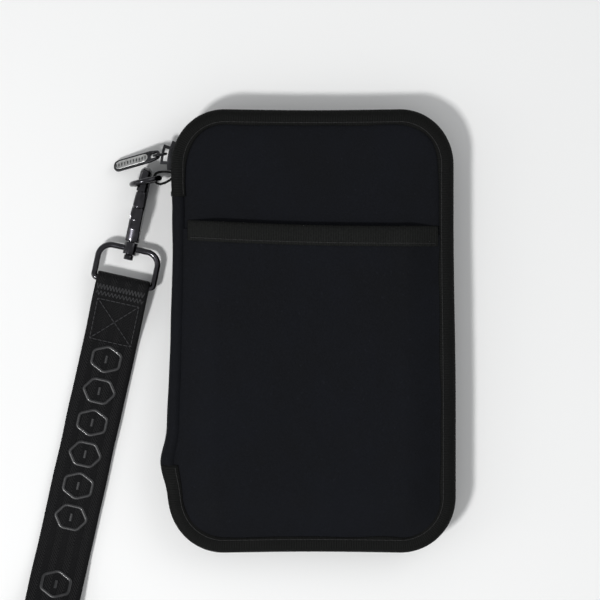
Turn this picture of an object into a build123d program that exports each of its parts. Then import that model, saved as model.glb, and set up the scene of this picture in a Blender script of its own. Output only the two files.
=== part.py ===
"""Zip-around document pouch of thin foam cloth, with a wrist strap on a swivel snap hook.

The pouch lies on its back. +X is across it, away from the spine, +Y is up it, +Z is out of its front.
The origin is the middle of the back face. Millimetres.
"""

from build123d import *
import os
from math import cos, radians, sin

os.makedirs("parts", exist_ok=True)

# ---- pouch ----
WIDTH = 133.0  # over the seam bindings
HEIGHT = 205.0
CORNER = 26.0  # outer corner radius
RIM = 20.0  # height from the back face to the front cover's face
MID = RIM / 2  # the zipper's line
SPINE_END = 62.0  # the spine runs this far each side of the middle
GAP_REACH = 8.5  # how far in the spine gap cuts the seam bands

BACK_FOAM = 3.0
COVER_FOAM = 2.4
SEAM_WIDTH = 7.0  # width of the folded seam binding
PANEL_EDGE = 7.2  # the panels are full thickness inside this inset
# each fold of the binding: distance from the outer face, start and end, and its width
BINDING_FOLDS = ((0.5, 1.1, SEAM_WIDTH), (1.1, 2.9, 1.2), (2.9, 3.5, 2.3))

# ---- front pocket ----
POCKET_GAP = 4.3  # clear depth for a passport
POCKET_FOAM = 1.8
POCKET_MOUTH = 45.0  # height of the mouth on the front
MOUTH_BINDING = 9.0
POCKET_FLOOR = RIM - 1.15  # outer face of the cover foam
POCKET_TOP = POCKET_FLOOR + POCKET_GAP + 0.45

# ---- zipper ----
TAPE_OUT, TAPE_IN = 2.65, 3.35  # insets of the tape wall's two faces
COIL_OUT, COIL_IN = 0.8, 2.6  # insets of the coil
ROW_LOW, ROW_HIGH = 6.9, 9.4  # each coil row, from its own outer face
ROW_START = 65.5
FRONT_ROW_START = 91.0  # the front row leaves the slider's place clear
ARC_X, ARC_Y = -WIDTH / 2 + CORNER, HEIGHT / 2 - CORNER  # centre of the corner at the closed end
SLIDER_AT = 10.8  # degrees round that corner
SLIDER_HALF = 15.0  # degrees, half the slider's length
BAIL_HALF = 9.0
BAIL_BAR = CORNER + 3.5  # radius of the bail's bar
LINK_TURN = -9.2  # degrees: the link hangs this way from the bail, above -X
LINK_REACH = 4.05  # bail bar to the pull tab's eye

# ---- strap hardware ----
HOOK_TILT = 12.0  # the hook's long axis, from +Y towards +X
STRAP_TILT = 12.6
SWIVEL_X, SWIVEL_Y, SWIVEL_Z = -84.7, 38.3, 6.0  # middle of the strap ring's top bar
RING_WIRE = 2.8
RING_ACROSS, RING_ALONG = 28.2, 16.2  # strap ring, centre line to centre line
O_RING_X, O_RING_Y, O_RING_Z = -77.3, 69.5, 10.2
O_RING_TILT = 12.6  # the ring's level diameter, from +X towards +Y
O_RING_RADIUS, O_RING_WIRE = 6.6, 2.5
LOOP_RIBBON, LOOP_WIDTH = 1.0, 5.0
BOW_HALF, BODY_HALF = 2.5, 2.9  # half-thickness of the hook's bow and of its body
GATE_PIVOT_S, GATE_PIVOT_Z = 15.0, 10.6
STRAP_WIDTH, WEBBING = 25.0, 1.3
STRAP_REACH = 180.0  # ring bar to far fold


def layer(low, high, front):
    """Start height and thickness of a layer given by its distances from a half's outer face."""
    return (RIM - high if front else low), high - low


def outline(z, inset, hole=None, gap=None):
    """The pouch's rounded outline drawn in by an inset, with a hole and a gap at the spine."""
    with BuildSketch(Plane.XY.offset(z)) as drawn:
        RectangleRounded(WIDTH - 2 * inset, HEIGHT - 2 * inset, CORNER - inset)
        if hole is not None:
            RectangleRounded(WIDTH - 2 * hole, HEIGHT - 2 * hole, CORNER - hole, mode=Mode.SUBTRACT)
        if gap is not None:
            with Locations((-WIDTH / 2, (gap[0] + gap[1]) / 2)):
                Rectangle(2 * GAP_REACH, gap[1] - gap[0], mode=Mode.SUBTRACT)
    return drawn.sketch


def sheet(z, x_low, x_high, y_low, y_high, corner):
    """A flat rectangle with rounded corners at height z."""
    with BuildSketch(Plane.XY.offset(z)) as drawn:
        with Locations(((x_low + x_high) / 2, (y_low + y_high) / 2)):
            RectangleRounded(x_high - x_low, y_high - y_low, corner)
    return drawn.sketch


SPINE_GAP = (-SPINE_END, SPINE_END)


def cover_panel(name, foam, face, front):
    """A cover's foam: full thickness inside the seam, a thin edge in the binding, and a spine edge."""
    with BuildPart() as panel:
        z, thick = layer(face, face + foam, front)
        extrude(outline(z, PANEL_EDGE), amount=thick)
        extrude(sheet(z, -WIDTH / 2 + 3.3, -WIDTH / 2 + 8.0, -SPINE_END + 0.2, SPINE_END - 0.2, 1.0),
                amount=thick)
        z, thick = layer(1.15, 2.05, front)
        extrude(outline(z, 1.6, PANEL_EDGE + 0.5, SPINE_GAP), amount=thick)
    panel.part.label = name
    export_step(panel.part, f"parts/{name}.step")


def seam_binding(name, front):
    """Woven tape folded round the seam of one cover, open at the spine."""
    with BuildPart() as binding:
        for low, high, width in BINDING_FOLDS:
            z, thick = layer(low, high, front)
            extrude(outline(z, 0, width, SPINE_GAP), amount=thick)
    binding.part.label = name
    export_step(binding.part, f"parts/{name}.step")


def zipper_tape(name, front, gap):
    """One half of the zipper's tape: an edge sewn into the seam and a wall up to the coil."""
    with BuildPart() as tape:
        z, thick = layer(2.15, 2.85, front)
        extrude(outline(z, 1.4, TAPE_IN, gap), amount=thick)
        z, thick = layer(2.85, ROW_HIGH, front)
        extrude(outline(z, TAPE_OUT, TAPE_IN, gap), amount=thick)
    tape.part.label = name
    export_step(tape.part, f"parts/{name}.step")


def zipper_coil(name, front, gap):
    """One row of the zipper's coil, on the outside of its tape."""
    with BuildPart() as coil:
        z, thick = layer(ROW_LOW, ROW_HIGH, front)
        extrude(outline(z, COIL_OUT, COIL_IN, gap), amount=thick)
    coil.part.label = name
    export_step(coil.part, f"parts/{name}.step")


def lining(name, near, front):
    """Thin lining on the inside of one cover."""
    with BuildPart() as cloth:
        z, thick = layer(near, near + 0.4, front)
        extrude(outline(z, PANEL_EDGE + 0.2), amount=thick)
    cloth.part.label = name
    export_step(cloth.part, f"parts/{name}.step")


def front_pocket():
    """Outer pocket panel: its face stands off the cover on three sewn sides, with the mouth open."""
    with BuildPart() as pocket:
        extrude(outline(POCKET_FLOOR + 0.05, PANEL_EDGE), amount=POCKET_GAP + 0.4 + POCKET_FOAM)
        extrude(outline(POCKET_FLOOR, PANEL_EDGE + POCKET_FOAM), amount=POCKET_TOP - POCKET_FLOOR,
                mode=Mode.SUBTRACT)
        with BuildSketch(Plane.XY.offset(POCKET_FLOOR)):
            with Locations((0, POCKET_MOUTH + HEIGHT / 2)):
                Rectangle(WIDTH, HEIGHT)
        extrude(amount=20, mode=Mode.SUBTRACT)
        top = pocket.faces().sort_by(Axis.Z)[-1]
        fillet(top.edges().filter_by(Axis.X, reverse=True), radius=1.4)
    pocket.part.label = "front_pocket"
    export_step(pocket.part, "parts/front_pocket.step")


def pocket_mouth_binding():
    """Woven tape folded over the pocket's top edge."""
    lip = 0.4
    low, high = POCKET_TOP - lip, POCKET_TOP + POCKET_FOAM + lip
    half = WIDTH / 2 - PANEL_EDGE - POCKET_FOAM - 0.3
    with BuildPart() as binding:
        with BuildSketch(Plane.YZ.offset(-half)):
            with Locations((POCKET_MOUTH + 0.6, (low + high) / 2)):
                Rectangle(MOUTH_BINDING, high - low)
            with Locations((POCKET_MOUTH + 0.6 - MOUTH_BINDING, (low + high) / 2)):
                Rectangle(2 * MOUTH_BINDING - 1.2, POCKET_FOAM, mode=Mode.SUBTRACT)
        extrude(amount=2 * half)
    binding.part.label = "pocket_mouth_binding"
    export_step(binding.part, "parts/pocket_mouth_binding.step")


def spine():
    """The foam spine wall and its lining, between the two covers."""
    clear = 0.3
    with BuildPart() as wall:
        extrude(sheet(0.4, -WIDTH / 2, -WIDTH / 2 + 3.0, -SPINE_END + clear, SPINE_END - clear, 0.8),
                amount=RIM - 0.8)
    wall.part.label = "spine_panel"
    export_step(wall.part, "parts/spine_panel.step")

    with BuildPart() as cloth:
        extrude(sheet(3.8, -WIDTH / 2 + 3.05, -WIDTH / 2 + 3.45, -SPINE_END + 1, SPINE_END - 1, 0.15),
                amount=RIM - 8.2)
    cloth.part.label = "spine_lining"
    export_step(cloth.part, "parts/spine_lining.step")


def inner_pockets():
    """Flat pockets on the linings: a slip pocket and three card slots behind, a mesh pocket in front."""
    with BuildPart() as slip:
        extrude(sheet(3.5, -56, 57, -92, 46, 16), amount=0.5)
    slip.part.label = "inner_slip_pocket"
    export_step(slip.part, "parts/inner_slip_pocket.step")

    for number in range(3):
        top = 28 - 13 * number
        with BuildPart() as slot:
            extrude(sheet(4.1 + 0.7 * number, -46, 48, -84, top, 4), amount=0.6)
        slot.part.label = f"card_slot_{number + 1}"
        export_step(slot.part, f"parts/card_slot_{number + 1}.step")

    with BuildPart() as mesh:
        extrude(sheet(RIM - 4.6, -55, 56, -92, 58, 15), amount=0.5)
    mesh.part.label = "inner_mesh_pocket"
    export_step(mesh.part, "parts/inner_mesh_pocket.step")

    with BuildPart() as elastic:
        extrude(sheet(RIM - 5.6, -55, 56, 50, 58, 1), amount=0.9)
    elastic.part.label = "mesh_pocket_elastic"
    export_step(elastic.part, "parts/mesh_pocket_elastic.step")


def zipper_ends():
    """Stops at both ends of the back row, and the cloth tabs that cover the tape ends inside."""
    with BuildPart() as stops:
        for y in (SPINE_END + 0.5, -SPINE_END - 3.0):
            extrude(sheet(ROW_LOW, -WIDTH / 2 + COIL_OUT, -WIDTH / 2 + COIL_IN, y, y + 2.5, 0.5),
                    amount=ROW_HIGH - ROW_LOW)
    stops.part.label = "zipper_stops"
    export_step(stops.part, "parts/zipper_stops.step")

    with BuildPart() as tabs:
        for y in (SPINE_END - 6, -SPINE_END - 7):
            extrude(sheet(3.8, -WIDTH / 2 + 3.5, -WIDTH / 2 + 4.3, y, y + 13, 0.3), amount=5.4)
    tabs.part.label = "tape_end_tabs"
    export_step(tabs.part, "parts/tape_end_tabs.step")


def slider_part(r_low, r_high, z_low, z_high, centre, half):
    """Sweep a rectangle round the corner's axis: radii, heights, middle angle and half angle."""
    start = Plane(
        origin=(ARC_X, ARC_Y, 0),
        x_dir=(-cos(radians(centre - half)), sin(radians(centre - half)), 0),
        z_dir=(sin(radians(centre - half)), cos(radians(centre - half)), 0),
    )
    with BuildSketch(start) as section:
        with Locations(((r_low + r_high) / 2, (z_low + z_high) / 2)):
            Rectangle(r_high - r_low, z_high - z_low)
    return section.sketch, 2 * half


def slider():
    """Zipper slider, curved as the corner is: two plates, a post between the rows, and a bail."""
    tape_face = CORNER - TAPE_IN
    blocks = (
        (CORNER - 0.4, CORNER + 0.8, MID - 5, MID + 5, SLIDER_HALF),  # outer plate
        (tape_face - 1.7, tape_face - 0.45, MID - 5, MID + 5, SLIDER_HALF),  # inner plate
        (CORNER - 2.2, CORNER - 0.4, MID - 5, MID - 4.1, SLIDER_HALF),  # flange below the rows
        (CORNER - 2.2, CORNER - 0.4, MID + 4.1, MID + 5, SLIDER_HALF),  # flange above the rows
        (tape_face - 0.45, CORNER - 0.4, MID - 0.3, MID + 0.3, SLIDER_HALF * 0.4),  # post
        (CORNER + 0.8, BAIL_BAR + 0.6, MID - 1.1, MID + 1.1, BAIL_HALF),  # bail
    )
    with BuildPart() as body:
        for r_low, r_high, z_low, z_high, half in blocks:
            section, turn = slider_part(r_low, r_high, z_low, z_high, SLIDER_AT, half)
            revolve(section, axis=Axis((ARC_X, ARC_Y, 0), (0, 0, -1)), revolution_arc=turn)
        section, turn = slider_part(CORNER + 0.8, BAIL_BAR - 0.6, MID - 2, MID + 2, SLIDER_AT, BAIL_HALF - 3)
        revolve(section, axis=Axis((ARC_X, ARC_Y, 0), (0, 0, -1)), revolution_arc=turn, mode=Mode.SUBTRACT)
    body.part.label = "zipper_slider"
    export_step(body.part, "parts/zipper_slider.step")


def link_point(reach):
    """A point on the link's middle line, at a distance from the bail's bar."""
    at, turn = radians(SLIDER_AT), radians(LINK_TURN)
    x = ARC_X - BAIL_BAR * cos(at) - reach * cos(turn)
    y = ARC_Y + BAIL_BAR * sin(at) + reach * sin(turn)
    return x, y, MID


def slider_link():
    """Flat oval link that joins the bail to the pull tab."""
    near, far, thick, wall = -2.2, 4.6, 1.1, 1.1
    turn = radians(LINK_TURN)
    level = Plane(origin=link_point((near + far) / 2), x_dir=(-cos(turn), sin(turn), 0),
                  z_dir=(sin(turn), cos(turn), 0))
    with BuildPart() as link:
        with BuildSketch(level.offset(-thick / 2)):
            SlotOverall(far - near, 6.6)
            SlotOverall(far - near - 2 * wall, 6.6 - 2 * wall, mode=Mode.SUBTRACT)
        extrude(amount=thick)
    link.part.label = "slider_link"
    export_step(link.part, "parts/slider_link.step")


def pull_tab():
    """Metal pull: a flat tongue with an eye for the link and a shallow grip panel.

    It slopes down to the table and leans, with the edge nearer the hook higher.
    """
    length, width, thick = 23.4, 6.0, 1.2
    turn, slope, lean = radians(15.0), radians(18.0), radians(35.0)
    along = Vector(-cos(turn) * cos(slope), -sin(turn) * cos(slope), -sin(slope))
    face = Vector(-cos(turn) * sin(slope), -sin(turn) * sin(slope), cos(slope))
    away = Vector(-sin(turn), cos(turn), 0)
    flat = Plane(origin=link_point(LINK_REACH), x_dir=along, z_dir=face * cos(lean) + away * sin(lean))
    with BuildPart() as tab:
        with BuildSketch(flat.offset(-thick / 2)) as tongue:
            with BuildLine():
                Polyline((-2.9, 2.0), (-2.9, -2.0), (2.0, -width / 2), (length - 2.9, -width / 2))
                Polyline((length - 2.9, -width / 2), (length - 2.9, width / 2), (2.0, width / 2), (-2.9, 2.0))
            make_face()
            fillet(tongue.vertices().group_by(Axis.X)[-1], radius=2.4)
            fillet(tongue.vertices().group_by(Axis.X)[0], radius=1.4)
            RectangleRounded(3.4, 2.8, 0.8, mode=Mode.SUBTRACT)
        extrude(amount=thick)
        with BuildSketch(flat.offset(thick / 2)):
            with Locations((length / 2 + 0.6, 0)):
                SlotOverall(15.0, 3.8)
        extrude(amount=-0.3, mode=Mode.SUBTRACT)
    tab.part.label = "pull_tab"
    export_step(tab.part, "parts/pull_tab.step")


def fabric_loop():
    """Narrow ribbon folded into a loop, its width upright, sewn in at the spine's top end."""
    turn = radians(O_RING_TILT)
    wire_x = O_RING_X + O_RING_RADIUS * cos(turn)
    wire_y = O_RING_Y + O_RING_RADIUS * sin(turn)
    along = Plane(origin=(wire_x, wire_y, O_RING_Z - LOOP_WIDTH / 2), x_dir=(cos(turn), sin(turn), 0))
    tail = -WIDTH / 2 + COIL_OUT - 0.4 - wire_x
    with BuildPart() as loop:
        with BuildSketch(along):
            with BuildLine():
                Polyline((tail, 1.3), (1.0, 3.4))
                ThreePointArc((1.0, 3.4), (-3.2, 0), (1.0, -3.4))
                Polyline((1.0, -3.4), (tail, -1.3), (tail, 1.3))
            make_face()
            with BuildLine():
                Polyline((tail - 0.9, 0.4), (1.0, 2.4))
                ThreePointArc((1.0, 2.4), (-2.2, 0), (1.0, -2.4))
                Polyline((1.0, -2.4), (tail - 0.9, -0.4), (tail - 0.9, 0.4))
            make_face(mode=Mode.SUBTRACT)
        extrude(amount=LOOP_WIDTH)
    loop.part.label = "fabric_loop"
    export_step(loop.part, "parts/fabric_loop.step")


def o_ring():
    """Round wire ring, upright, through the fabric loop and the hook's eye."""
    turn = radians(O_RING_TILT)
    centre = (O_RING_X, O_RING_Y, O_RING_Z)
    with BuildPart() as ring:
        with BuildSketch(Plane(origin=centre, x_dir=(cos(turn), sin(turn), 0))):
            with Locations((O_RING_RADIUS, 0)):
                Circle(O_RING_WIRE / 2)
        revolve(axis=Axis(centre, (-sin(turn), cos(turn), 0)), revolution_arc=360)
    ring.part.label = "o_ring"
    export_step(ring.part, "parts/o_ring.step")


def hook_plane(offset=0.0):
    """Upright plane through the hook's long axis: x along it from the swivel, y up from the table."""
    turn = radians(HOOK_TILT)
    side = Plane(origin=(SWIVEL_X, SWIVEL_Y, 0), x_dir=(sin(turn), cos(turn), 0),
                 z_dir=(cos(turn), -sin(turn), 0))
    return side.offset(offset)


def hook_axis_plane(s):
    """Plane across the hook's long axis at a distance s along it."""
    turn = radians(HOOK_TILT)
    along = (sin(turn), cos(turn), 0)
    return Plane(origin=(SWIVEL_X + s * along[0], SWIVEL_Y + s * along[1], SWIVEL_Z), z_dir=along)


def hook_body():
    """Hook: a barrel for the swivel post, a forked body, and a bow that ends in a nose."""
    with BuildPart() as hook:
        with BuildSketch(hook_plane(-BOW_HALF)):
            with BuildLine():
                Polyline((9, 10.5), (9, 1.4), (13, 0), (32, 0))
                ThreePointArc((32, 0), (38.5, 7), (32, 14))
                Polyline((32, 14), (27, 14), (27, 11.6), (32, 11.6))
                ThreePointArc((32, 11.6), (36.4, 6.8), (32, 2))
                Polyline((32, 2), (19.5, 2), (19.5, 6), (13.5, 6), (13.5, 12.6), (9, 10.5))
            make_face()
        extrude(amount=2 * BOW_HALF)
        turn = radians(HOOK_TILT)
        long_way = Axis((0, 0, 0), (sin(turn), cos(turn), 0))
        chamfer(hook.edges().filter_by(long_way).group_by(Axis.Z)[-1], length=1.2)
        with BuildSketch(hook_plane(-BODY_HALF)):
            with BuildLine():
                Polyline((9, 10.5), (9, 1.4), (13, 0), (19.5, 0))
                Polyline((19.5, 0), (19.5, 9.0), (17.5, 12.6), (13.5, 12.6), (9, 10.5))
            make_face()
        extrude(amount=2 * BODY_HALF)
        with BuildSketch(hook_plane(-1.6)):
            with Locations((16.6, 10.0)):
                Rectangle(6.0, 8.0)
        extrude(amount=3.2, mode=Mode.SUBTRACT)
        with BuildSketch(hook_axis_plane(3.2)):
            Circle(3.3)
        extrude(amount=6.0)
        with BuildSketch(hook_axis_plane(3.2)):
            Circle(1.5)
        extrude(amount=4.0, mode=Mode.SUBTRACT)
        with BuildSketch(hook_plane(-BODY_HALF)):
            with Locations((GATE_PIVOT_S, GATE_PIVOT_Z)):
                Circle(0.8)
        extrude(amount=2 * BODY_HALF, mode=Mode.SUBTRACT)
    hook.part.label = "hook_body"
    export_step(hook.part, "parts/hook_body.step")


def hook_gate():
    """Sprung gate on its pin, with a thumb piece on top, closing against the nose."""
    half = 1.3
    with BuildPart() as gate:
        with BuildSketch(hook_plane(-half)):
            with BuildLine():
                Polyline((14.4, 9.4), (16.6, 9.0), (26.6, 11.8), (26.6, 13.6), (21.4, 13.6))
                Polyline((21.4, 13.6), (20.4, 15.2), (18.2, 15.2), (17.0, 13.2), (14.4, 12.0), (14.4, 9.4))
            make_face()
        extrude(amount=2 * half)
        with BuildSketch(hook_plane(-BOW_HALF)):
            with BuildLine():
                Polyline((20.4, 10.6), (26.6, 11.8), (26.6, 13.6), (20.4, 13.6), (20.4, 10.6))
            make_face()
        extrude(amount=2 * BOW_HALF)
        with BuildSketch(hook_plane(-half)):
            with Locations((GATE_PIVOT_S, GATE_PIVOT_Z)):
                Circle(0.85)
        extrude(amount=2 * half, mode=Mode.SUBTRACT)
    gate.part.label = "hook_gate"
    export_step(gate.part, "parts/hook_gate.step")

    with BuildPart() as pin:
        with BuildSketch(hook_plane(-BODY_HALF)):
            with Locations((GATE_PIVOT_S, GATE_PIVOT_Z)):
                Circle(0.8)
        extrude(amount=2 * BODY_HALF)
    pin.part.label = "gate_pin"
    export_step(pin.part, "parts/gate_pin.step")

    turn = radians(HOOK_TILT)
    at = 17.9
    with BuildPart() as spring:
        wound = Plane(origin=(SWIVEL_X + at * sin(turn), SWIVEL_Y + at * cos(turn), 6.25))
        with BuildLine(wound):
            coil = Helix(pitch=0.75, height=2.25, radius=0.75)
        with BuildSketch(Plane(origin=coil @ 0, z_dir=coil % 0)):
            Circle(0.17)
        sweep(path=coil)
    spring.part.label = "gate_spring"
    export_step(spring.part, "parts/gate_spring.step")


def swivel_post():
    """Rivet that holds the hook to the strap ring: a shank in the barrel and a head inside the ring."""
    with BuildPart() as post:
        with BuildSketch(hook_axis_plane(-5.4)):
            Circle(1.5)
        extrude(amount=12.6)
        with BuildSketch(hook_axis_plane(-5.4)):
            Circle(2.2)
        extrude(amount=2.3)
    post.part.label = "swivel_post"
    export_step(post.part, "parts/swivel_post.step")


def strap_ring():
    """Wire ring, rounded at the hook's end and square at the strap's, with a boss for the swivel."""
    turn = radians(HOOK_TILT)
    level = Plane(origin=(SWIVEL_X, SWIVEL_Y, SWIVEL_Z), x_dir=(cos(turn), -sin(turn), 0))
    half, deep = RING_ACROSS / 2, RING_ALONG
    round_top, round_low = 6.0, 1.55
    with BuildPart() as ring:
        with BuildLine(level) as route:
            FilletPolyline((0, 0), (half, 0), (half, -deep / 2), radius=round_top)
            FilletPolyline((half, -deep / 2), (half, -deep), (0, -deep), radius=round_low)
            FilletPolyline((0, -deep), (-half, -deep), (-half, -deep / 2), radius=round_low)
            FilletPolyline((-half, -deep / 2), (-half, 0), (0, 0), radius=round_top)
        with BuildSketch(Plane(origin=route.line @ 0, z_dir=route.line % 0)):
            Circle(RING_WIRE / 2)
        sweep(path=route.line)
        with BuildSketch(hook_axis_plane(-2.8)):
            Circle(3.1)
        extrude(amount=5.6)
        with BuildSketch(hook_axis_plane(-3.0)):
            Circle(1.58)
        extrude(amount=6.0, mode=Mode.SUBTRACT)
    ring.part.label = "strap_ring"
    export_step(ring.part, "parts/strap_ring.step")


def wrist_strap():
    """Webbing loop: wrapped round the ring's bar, sewn flat, then open to a rounded far fold."""
    turn, ring_turn = radians(STRAP_TILT), radians(HOOK_TILT)
    x = SWIVEL_X - RING_ALONG * sin(ring_turn)
    y = SWIVEL_Y - RING_ALONG * cos(ring_turn)
    side = Plane(origin=(x, y, 0), x_dir=(-sin(turn), -cos(turn), 0), z_dir=(-cos(turn), sin(turn), 0))
    bar = SWIVEL_Z
    eye = RING_WIRE / 2 + 0.45
    out = eye + WEBBING
    end = STRAP_REACH
    sewn = 36.0
    with BuildPart() as strap:
        with BuildSketch(side.offset(-STRAP_WIDTH / 2)):
            with BuildLine():
                ThreePointArc((0.6, bar + out), (-out, bar), (0.6, bar - out))
                Polyline((0.6, bar - out), (30.0, 0), (end - 5.0, 0))
                ThreePointArc((end - 5.0, 0), (end, 5.0), (end - 5.0, 10.0))
                Polyline((end - 5.0, 10.0), (end - 17.0, 9.0), (end - 40.0, 2.9), (30.0, 2.9),
                         (0.6, bar + out))
            make_face()
            with Locations((0, bar)):
                Circle(eye, mode=Mode.SUBTRACT)
            with BuildLine():
                Polyline((sewn, WEBBING), (end - 5.0, WEBBING))
                ThreePointArc((end - 5.0, WEBBING), (end - WEBBING, 5.0), (end - 5.0, 8.7))
                Polyline((end - 5.0, 8.7), (end - 17.0, 7.7), (end - 40.0, 1.6), (sewn, 1.6))
                Line((sewn, 1.6), (sewn, WEBBING))
            make_face(mode=Mode.SUBTRACT)
        extrude(amount=STRAP_WIDTH)
    strap.part.label = "strap_webbing"
    export_step(strap.part, "parts/strap_webbing.step")


cover_panel("back_panel", BACK_FOAM, 0.0, False)
cover_panel("front_panel", COVER_FOAM, 1.15, True)
seam_binding("back_binding", False)
seam_binding("front_binding", True)
zipper_tape("back_zipper_tape", False, SPINE_GAP)
zipper_tape("front_zipper_tape", True, (-SPINE_END, FRONT_ROW_START))
zipper_coil("back_zipper_coil", False, (-ROW_START, ROW_START))
zipper_coil("front_zipper_coil", True, (-ROW_START, FRONT_ROW_START))
lining("back_lining", BACK_FOAM + 0.05, False)
lining("front_lining", 1.15 + COVER_FOAM + 0.05, True)
front_pocket()
pocket_mouth_binding()
spine()
inner_pockets()
zipper_ends()
slider()
slider_link()
pull_tab()
fabric_loop()
o_ring()
hook_body()
hook_gate()
swivel_post()
strap_ring()
wrist_strap()
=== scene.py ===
"""Zip-around document pouch of foam cloth, with its zipper, clip and wrist strap.

The frame is the pouch's own: +X across it away from its spine, +Y up it, +Z out of its front. Shapes are
worked out in millimetres and put into meshes in metres.
"""
from math import cos, pi, radians, sin

import bmesh
import bpy
import numpy as np
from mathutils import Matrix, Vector


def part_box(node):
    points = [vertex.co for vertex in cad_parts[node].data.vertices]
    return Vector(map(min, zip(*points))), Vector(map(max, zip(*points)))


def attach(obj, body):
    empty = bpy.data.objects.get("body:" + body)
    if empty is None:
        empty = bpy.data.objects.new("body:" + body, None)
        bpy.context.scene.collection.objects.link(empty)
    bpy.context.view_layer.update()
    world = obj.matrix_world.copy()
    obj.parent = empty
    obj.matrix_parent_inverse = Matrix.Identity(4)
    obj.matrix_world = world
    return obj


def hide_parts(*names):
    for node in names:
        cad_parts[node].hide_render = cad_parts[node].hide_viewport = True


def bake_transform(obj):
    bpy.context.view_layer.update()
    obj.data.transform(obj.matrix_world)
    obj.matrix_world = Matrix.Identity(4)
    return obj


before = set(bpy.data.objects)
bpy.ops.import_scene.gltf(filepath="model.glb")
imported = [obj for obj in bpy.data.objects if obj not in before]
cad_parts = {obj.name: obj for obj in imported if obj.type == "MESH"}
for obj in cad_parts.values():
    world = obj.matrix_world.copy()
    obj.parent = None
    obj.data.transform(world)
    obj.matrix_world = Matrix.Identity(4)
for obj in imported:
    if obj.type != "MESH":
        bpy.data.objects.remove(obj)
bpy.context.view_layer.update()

bl_info = {
    "name": "Zip-around pouch",
    "version": (1, 0, 0),
    "blender": (4, 5, 0),
    "location": "View3D > Sidebar > Pouch",
    "description": "Builds the cloth, zipper, clip and strap of a zip-around pouch",
    "category": "Add Mesh",
}

MM = 0.001


def corners(node):
    """Lowest and highest corner of a CAD node, in millimetres."""
    return tuple(np.array(corner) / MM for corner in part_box(node))


# Outline of the covers. RIM is twice the height of the plane between the two halves.
HALF_W, HALF_H = corners("front_binding")[1][:2]
RIM = corners("back_binding")[0][2] + corners("front_binding")[1][2]
CORNER = 26.0
SPINE_END = corners("spine_panel")[1][1]
RUN_X, RUN_Y = HALF_W - CORNER, HALF_H - CORNER
QUARTER = CORNER * pi / 2
GIRTH = 4 * (RUN_X + RUN_Y + QUARTER)
FACE_LIMIT = 19.95
POCKET_LOW, POCKET_HIGH = corners("front_pocket")

# Zipper: where its rows start and end along the outline.
BACK_ROW_START, FRONT_ROW_START, ROWS_END = 65.5, 92.0, GIRTH - 65.5

# Clip: its swivel, the way it points, and the pull's eye and directions.
UP = np.array([0.0, 0.0, 1.0])
SWIVEL, RING_TILT = np.array([-84.7, 38.3, 0.0]), radians(12.0)
PULL_EYE = np.array([-73.477, 81.38, RIM / 2])
PULL_TURN, PULL_SLOPE, PULL_LEAN = radians(15.0), radians(18.0), radians(35.0)

# Strap: the foot of its ring's bar, its directions, and the heights that its two layers follow.
STRAP_TILT = radians(12.6)
FOOT = np.array([-88.07, 22.45, 0.0])
ALONG = np.array([-sin(STRAP_TILT), -cos(STRAP_TILT), 0.0])
ACROSS = np.array([cos(STRAP_TILT), -sin(STRAP_TILT), 0.0])
STRAP_HALF_W = 12.5
BAR_HEIGHT, BAR_WRAP, BAR_REACH = 6.0, 2.5, 30
LOWER_LAYER, UPPER_LAYER, WEB_HALF = 0.82, 2.42, 0.62
FAR_RISE, FAR_START, FAR_SPAN = 7.1, 128, 47


class PouchSizes(bpy.types.PropertyGroup):
    """Sizes of the cloth details."""
    crown: bpy.props.FloatProperty(
        name="Panel crown", description="Rise of the foam inside its seam",
        default=1.0 * MM, unit="LENGTH")
    pocket_rise: bpy.props.FloatProperty(
        name="Pocket rise", description="Height of the pocket over the cover",
        default=4.6 * MM, unit="LENGTH")
    coil_pitch: bpy.props.FloatProperty(
        name="Coil pitch", description="Length of one turn of the zipper coil",
        default=1.5 * MM, unit="LENGTH")
    stitch: bpy.props.FloatProperty(
        name="Stitch length", description="Length of one seam stitch",
        default=3.1 * MM, unit="LENGTH")
    motif: bpy.props.FloatProperty(
        name="Motif length", description="Length of one raised strap motif",
        default=12.4 * MM, unit="LENGTH")


class PouchColours(bpy.types.PropertyGroup):
    """Colours of the finishes."""
    foam: bpy.props.FloatVectorProperty(
        name="Foam cloth", description="Face of the foam panels", size=3, subtype="COLOR",
        default=(0.0042, 0.0047, 0.0064))
    tape: bpy.props.FloatVectorProperty(
        name="Binding", description="Woven seam tape", size=3, subtype="COLOR",
        default=(0.0026, 0.0028, 0.0026))
    webbing: bpy.props.FloatVectorProperty(
        name="Webbing", description="Strap webbing", size=3, subtype="COLOR",
        default=(0.0024, 0.0024, 0.0028))
    lining: bpy.props.FloatVectorProperty(
        name="Lining", description="Cloth inside the pouch", size=3, subtype="COLOR",
        default=(0.075, 0.08, 0.09))
    metal: bpy.props.FloatVectorProperty(
        name="Metal", description="Plating of the clip and rings", size=3, subtype="COLOR",
        default=(0.026, 0.025, 0.029))


# ---- meshes ----

def grid_faces(rows, columns, close_rows=False, close_columns=False):
    """Quads between neighbouring rows and columns of a grid of points."""
    row = np.arange(rows if close_rows else rows - 1)[:, None]
    column = np.arange(columns if close_columns else columns - 1)[None, :]
    next_row, next_column = (row + 1) % rows, (column + 1) % columns
    quads = np.broadcast_arrays(row * columns + column, row * columns + next_column,
                                next_row * columns + next_column, next_row * columns + column)
    return np.stack(quads, -1).reshape(-1, 4)


def skin_faces(rows, count, closed=False):
    """Quads of a skin over a run of closed loops. Open ends are closed by quads that pair each end loop's
    points from its two sides."""
    faces = [grid_faces(rows, count, closed, True)]
    if not closed:
        pair = np.arange(count // 2 - 1)
        cap = np.stack([pair, pair + 1, count - 2 - pair, count - 1 - pair], -1)
        faces += [cap[:, ::-1], cap + (rows - 1) * count]
    return np.concatenate(faces)


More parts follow.
